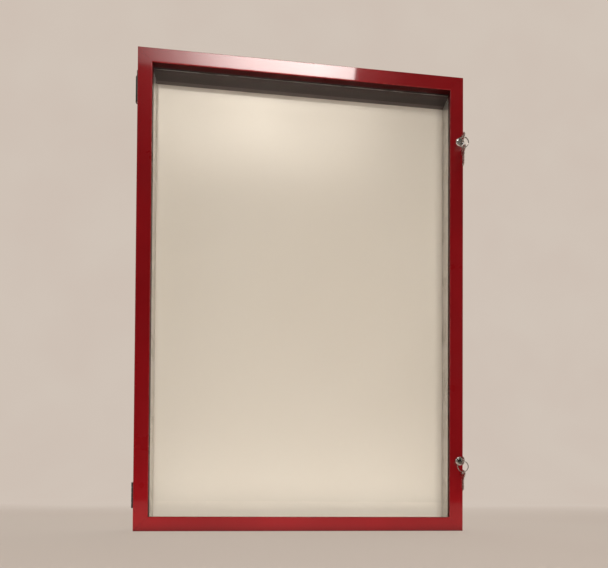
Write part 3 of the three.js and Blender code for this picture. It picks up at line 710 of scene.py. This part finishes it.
def key(end, kind):
    """A key in two closed parts. The bow is a round plate with a hole. The blade is a section with a milled
    groove in each side, carried along the blade: its lower edge rises at the five cuts, and the whole section
    shrinks towards the tip."""
    body, node = f"{end}_{kind}", f"{end}_{'key' if kind == 'key' else 'spare_key'}"
    a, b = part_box(node)
    x = (a.x + b.x) / 2
    hole_in, radius, length, cuts, pitch = 6.5 * mm, 10 * mm, 28 * mm, 5, 4 * mm
    if kind == "key":  # along +Y, across +Z
        y, z = a.y + hole_in, (a.z + b.z) / 2
        place = lambda p: np.column_stack([x + p[:, 2], y + p[:, 0], z + p[:, 1]])
    else:  # along -Z, across +Y
        y, z = (a.y + b.y) / 2, b.z - hole_in
        place = lambda p: np.column_stack([x + p[:, 2], y + p[:, 1], z - p[:, 0]])
    centre, half, tip = radius - hole_in, 4 * mm, 2 * radius - hole_in + length
    neck = math.asin(half / radius)
    turn = np.linspace(neck, 2 * math.pi - neck, 90)
    outline = np.column_stack([centre + radius * np.cos(turn), radius * np.sin(turn)])
    shoulder = centre + radius
    outline = np.concatenate([outline, [[shoulder, -half], [shoulder, half]]])
    hole, _ = rounded(np.array([(-2.7, -2.7), (-2.7, 2.7), (2.7, 2.7), (2.7, -2.7)]) * mm, 2.6 * mm, 10)
    points, faces = bevelled_plate([outline, hole], -1 * mm, 1 * mm, 0.3 * mm, place)
    make_piece(f"{end}_{kind}_bow", body, "key_steel", nickel, points, faces, [node], crease=32)

    s = np.linspace(shoulder - 0.4 * mm, tip, 160)
    knots = tip - half - cuts * pitch + np.arange(2 * cuts + 1) * pitch / 2
    depths = np.array([0, 1.6, 0, 0.96, 0, 1.6, 0, 0.96, 0, 1.6, 0]) * mm
    cut = np.interp(s, knots, depths)
    taper = np.interp(s, [tip - half, tip - 0.5 * mm, tip], [1, 0.28, 0.12])
    # (thickness, across) round the section, with the chamfers and the two grooves
    section = np.array([
        (0.7, -4), (0.95, -3.7), (0.95, -1.9), (0.45, -1.6),
        (0.45, -0.5), (0.95, -0.2), (0.95, 3.7), (0.7, 4),
        (-0.7, 4), (-0.95, 3.7), (-0.95, 2.2), (-0.45, 1.9),
        (-0.45, 0.9), (-0.95, 0.6), (-0.95, -3.7), (-0.7, -4)]) * mm
    raised = (section[:, 1] < -3 * mm)[None] * cut[:, None]
    across_blade = (section[None, :, 1] + raised) * taper[:, None]
    thickness = section[None, :, 0] * np.interp(s, [tip - 2 * mm, tip], [1, 0.6])[:, None]
    grid = np.stack([np.broadcast_to(s[:, None], across_blade.shape), across_blade, thickness], -1)
    n = len(section)
    faces = grid_faces(len(s), n) + end_faces(len(s), n)
    make_piece(f"{end}_{kind}_blade", body, "key_steel", nickel, place(grid.reshape(-1, 3)), faces, crease=25)


def split_ring(end):
    """Two turns of flattened wire side by side: the section is carried round the ring, and its sideways
    offset passes from one turn to the other, as a sine, where the wire crosses over between its two ends."""
    node = f"{end}_key_ring"
    a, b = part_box(node)
    x, y, z = (a.x + b.x) / 2, (a.y + b.y) / 2, (a.z + b.z) / 2
    radius, cross = 12.5 * mm, 0.3
    t = np.linspace(-2 * np.pi + cross, 2 * np.pi - cross, 320)
    side = 0.45 * mm * np.sin(np.clip(t / cross, -1, 1) * np.pi / 2)
    wire = np.array([(-0.7, -0.43), (0.7, -0.43), (0.7, 0.43), (-0.7, 0.43)]) * mm
    section, _ = rounded(wire, 0.3 * mm, 4)
    out, off = radius + section[None, :, 0], side[:, None] + section[None, :, 1]
    angle = t[:, None] + math.pi * 0.85
    grid = np.stack([x + out * np.cos(angle), y + off, z + out * np.sin(angle)], -1)
    n = len(section)
    faces = grid_faces(len(t), n) + end_faces(len(t), n)
    make_piece(f"{end}_split_ring", f"{end}_ring", "key_steel", nickel, grid.reshape(-1, 3), faces, [node])


for end in ends:
    lock_housing(end)
    key(end, "key")
    key(end, "spare")
    split_ring(end)


# ---- floor, backdrop and light ----

backdrop_low, backdrop_high = (0.620, 0.530, 0.460), (0.632, 0.548, 0.476)
backdrop_mean = (0.626, 0.539, 0.468)


def seen_rays(tree):
    """1 for a ray that shows something, directly, in gloss or through glass; 0 for one that only lights."""
    path = tree.nodes.new("ShaderNodeLightPath").outputs
    seen = path["Is Camera Ray"]
    for ray in ("Is Glossy Ray", "Is Transmission Ray"):
        either = tree.nodes.new("ShaderNodeMath")
        either.operation = "MAXIMUM"
        tree.links.new(seen, either.inputs[0])
        tree.links.new(path[ray], either.inputs[1])
        seen = either.outputs[0]
    return seen


def stand_sheet(name, x, y, z, finish):
    """A smooth sheet of the studio, over a grid of places."""
    grid = np.stack(np.broadcast_arrays(x, y, z), -1)
    mesh = bpy.data.meshes.new(name)
    mesh.from_pydata(grid.reshape(-1, 3), [], grid_faces(*grid.shape[:2], wrap_columns=False))
    mesh.shade_smooth()
    mesh.materials.append(finish.material)
    sheet = bpy.data.objects.new(name, mesh)
    scene.collection.objects.link(sheet)
    return sheet


def show(finish, factor, plain, other):
    """Gives a finish a surface that passes from plain to other by a factor."""
    both = finish.node("ShaderNodeMixShader", {0: factor, 1: plain, 2: other})
    finish.tree.links.new(both.outputs[0], finish.tree.nodes["Material Output"].inputs["Surface"])


def sweep_backdrop():
    """A pale floor that turns up into a backdrop: a straight run, a quarter round and an upright, drawn out
    to both sides. Where it is seen, it shows its own colour: partly on the floor, fully on the upright."""
    f = Finish("pale_backdrop")
    tone = f.mix(f.ramp(f.noise(0.9, detail=2.0), 0.35, 0.65), backdrop_low, backdrop_high)
    f.set(Base_Color=f.mix(f.noise(1.5, detail=2.0), (0.60, 0.53, 0.475), (0.62, 0.55, 0.49)))
    f.set(Roughness=0.9, Specular_IOR_Level=0.1)
    run = f.node("ShaderNodeSeparateXYZ", {0: f.places}).outputs["Y"]
    own = f.node("ShaderNodeMapRange", {
        "Value": run, "From Min": 0.2, "From Max": 2.4, "To Min": 0.6}, interpolation_type="SMOOTHSTEP")
    share = f.maths("MULTIPLY", seen_rays(f.tree), own.outputs[0])
    show(f, share, f.shader.outputs[0], f.node("ShaderNodeEmission", {"Color": tone}).outputs[0])
    floor, near, far, bend, upright = bottom - 0.2 * mm, -9, 4.5, 1.6, 9
    turn = np.linspace(0, np.pi / 2, 24)
    y = np.concatenate([[near], far - bend + bend * np.sin(turn), [far]])
    z = np.concatenate([[floor], floor + bend - bend * np.cos(turn), [floor + upright]])
    stand_sheet("backdrop", np.array([[-12.0, 12.0]]), y[:, None], z[:, None], f)


def dark_screen():
    """A tall dark screen behind the lamps, so that the gloss and the glass mirror a dim room: almost half a
    cylinder, whose angle runs from side to side round the front. It thins out towards both ends. It isn't seen
    directly, but from behind it is seen through the glass."""
    f = Finish("dark_screen")
    f.set(Base_Color=f.mix(f.noise(0.6, detail=2.0), (0.045, 0.042, 0.040), (0.06, 0.056, 0.053)))
    f.set(Roughness=0.9)
    end, thinning, reach, height = 0.46 * np.pi, 0.25 * np.pi, 4.4, 7
    ahead = f.node("ShaderNodeSeparateXYZ", {0: f.places}).outputs["Y"]
    thin = f.node("ShaderNodeMapRange", {
        "Value": ahead, "From Min": -reach * math.cos(thinning), "From Max": -reach * math.cos(end),
    }, interpolation_type="SMOOTHSTEP").outputs[0]
    show(f, thin, f.shader.outputs[0], f.node("ShaderNodeBsdfTransparent").outputs[0])
    angle = np.linspace(-end, end, 40)[None]
    sheet = stand_sheet("dark_screen", reach * np.sin(angle), -reach * np.cos(angle),
                        np.array([[bottom], [bottom + height]]), f)
    sheet.visible_camera = False


def room_light():
    """Pale light from all round at the level of the eye, dimmer overhead. Where the room itself is seen, it
    has the backdrop's colour, so that the backdrop has no visible end."""
    world = bpy.data.worlds.new("room")
    world.use_nodes = True
    scene.world = world
    tree = world.node_tree
    parts = tree.nodes.new("ShaderNodeSeparateXYZ")
    tree.links.new(tree.nodes.new("ShaderNodeTexCoord").outputs["Generated"], parts.inputs[0])
    fade = tree.nodes.new("ShaderNodeMapRange")
    fade.inputs["From Min"].default_value, fade.inputs["From Max"].default_value = 0.02, 0.8
    fade.interpolation_type = "SMOOTHSTEP"
    tree.links.new(parts.outputs["Z"], fade.inputs["Value"])
    light, shown = tree.nodes.new("ShaderNodeMix"), tree.nodes.new("ShaderNodeMix")
    light.data_type = shown.data_type = "RGBA"
    tree.links.new(fade.outputs[0], light.inputs[0])
    light.inputs[6].default_value = (0.64, 0.565, 0.50, 1)
    light.inputs[7].default_value = (0.50, 0.44, 0.39, 1)
    tree.links.new(seen_rays(tree), shown.inputs[0])
    tree.links.new(light.outputs[2], shown.inputs[6])
    shown.inputs[7].default_value = (*backdrop_mean, 1)
    tree.links.new(shown.outputs[2], tree.nodes["Background"].inputs["Color"])


def hang(name, lamp, place, target, colour, mirrored, fills):
    """Points a lamp at its target. A mirrored lamp shows in gloss and glass, a filling one on the rest."""
    lamp.color = colour
    made = bpy.data.objects.new(name, lamp)
    made.location = place
    made.rotation_euler = (Vector(target) - Vector(place)).to_track_quat("-Z", "Y").to_euler()
    made.visible_camera = False
    made.visible_glossy = made.visible_transmission = mirrored
    made.visible_diffuse = fills
    scene.collection.objects.link(made)


def softbox(name, place, target, width, height, radiance, mirrored=False, fills=True):
    """A flat lamp; its power is its radiance times its area times pi."""
    lamp = bpy.data.lights.new(name, "AREA")
    lamp.shape, lamp.size, lamp.size_y = "RECTANGLE", width, height
    lamp.energy = radiance * width * height * math.pi
    hang(name, lamp, place, target, (1.0, 0.965, 0.92), mirrored, fills)
    return lamp


def lamp_places(lamp):
    """A flat lamp's nodes, and how far across its width and height a point lies, each from 0 to 1."""
    lamp.use_nodes = True
    tree = lamp.node_tree
    parts = tree.nodes.new("ShaderNodeSeparateXYZ")
    tree.links.new(tree.nodes.new("ShaderNodeNewGeometry").outputs["Parametric"], parts.inputs[0])
    return tree, parts.outputs


def shade_lamp(lamp, places, levels):
    """Gives a flat lamp levels that run across its width."""
    tree, parts = lamp_places(lamp)
    ramp = tree.nodes.new("ShaderNodeValToRGB")
    stops = ramp.color_ramp.elements
    while len(stops) < len(places):
        stops.new(1.0)
    for stop, place, level in zip(stops, places, levels):
        stop.position, stop.color = place, (level, level, level, 1)
    tree.links.new(parts["X"], ramp.inputs["Fac"])
    tree.links.new(ramp.outputs["Color"], tree.nodes["Emission"].inputs["Strength"])


def fade_lamp(lamp):
    """Lets a flat lamp fade out towards its four edges: its level is 16 x (1 - x) y (1 - y), where x and y
    run from 0 to 1 across its width and its height."""
    tree, parts = lamp_places(lamp)

    def calculate(operation, *values):
        made = tree.nodes.new("ShaderNodeMath")
        made.operation = operation
        for k, value in enumerate(values):
            if isinstance(value, float):
                made.inputs[k].default_value = value
            else:
                tree.links.new(value, made.inputs[k])
        return made.outputs[0]

    level = 16.0
    for side in ("X", "Y"):
        level = calculate("MULTIPLY", parts[side], level)
        level = calculate("MULTIPLY", calculate("SUBTRACT", 1.0, parts[side]), level)
    tree.links.new(level, tree.nodes["Emission"].inputs["Strength"])


def soft_spot(name, place, target, radius, level):
    """A round pool of light with a soft edge. At its middle it adds level to what a white face sends back, so
    its power is level times the sphere's 4 pi squared times its distance squared."""
    lamp = bpy.data.lights.new(name, "SPOT")
    distance = (Vector(target) - Vector(place)).length
    lamp.spot_size, lamp.spot_blend = 2 * math.atan(radius / distance), 1.0
    lamp.shadow_soft_size = 0.08
    lamp.energy = level * 4 * math.pi ** 2 * distance ** 2
    hang(name, lamp, place, target, (1.0, 0.97, 0.94), False, True)


sweep_backdrop()
room_light()
dark_screen()

# a long lamp high in front that shows only in gloss, and rises to its brightest towards the right
lamp_left, lamp_right, brightest = -1.30, 0.545, 16.6
lamp_middle = (lamp_left + lamp_right) / 2
ceiling_lamp = softbox("ceiling_lamp", (lamp_middle, -2.0, 2.38), (lamp_middle, 0, 0.2),
                       lamp_right - lamp_left, 0.36, 20.0, mirrored=True, fills=False)
stops = np.array([-1.28, -1.03, -0.86, -0.75, -0.64, -0.46, -0.33, -0.04, 0.26, 0.545])
levels = np.array([0.0, 1.3, 2.8, 4.2, 6.7, 10.0, 12.4, 15.1, 16.6, 13.5])
shade_lamp(ceiling_lamp, (stops - lamp_left) / (lamp_right - lamp_left), levels / brightest)

# broad soft light from the front right, low on the front, and from above
softbox("front_lamp", (0.55, -3.6, 0.1), (0, 0, -0.55), 1.9, 1.9, 5.8)
softbox("low_lamp", (-0.1, -1.9, -0.76), (-0.05, 0, -0.9), 0.9, 0.45, 6.2)
softbox("overhead_lamp", (0.5, 1.2, 2.4), (0, 0.2, -1), 2.4, 1.6, 2.4)

# a wide pool of light high on the panel, and a soft lamp to each side that shows only in gloss and glass
for side, x in (("left", -0.24), ("right", 0.0)):
    soft_spot(f"panel_lamp_{side}", (x, -3.2, 0.25), (x, -0.05, -0.02), 0.26, 0.34)
for side, x in (("left", -2.0), ("right", 2.0)):
    fade_lamp(softbox(f"side_lamp_{side}", (x, -1.6, 0.4), (0, 0, -0.4), 0.5, 1.3, 6.0,
                      mirrored=True, fills=False))

# light that the table throws up just in front of the door
table_y = door_front - 0.07
softbox("table_light", (0, table_y, bottom + 1 * mm), (0, table_y, 1), 1.3, 0.12, 2.0)
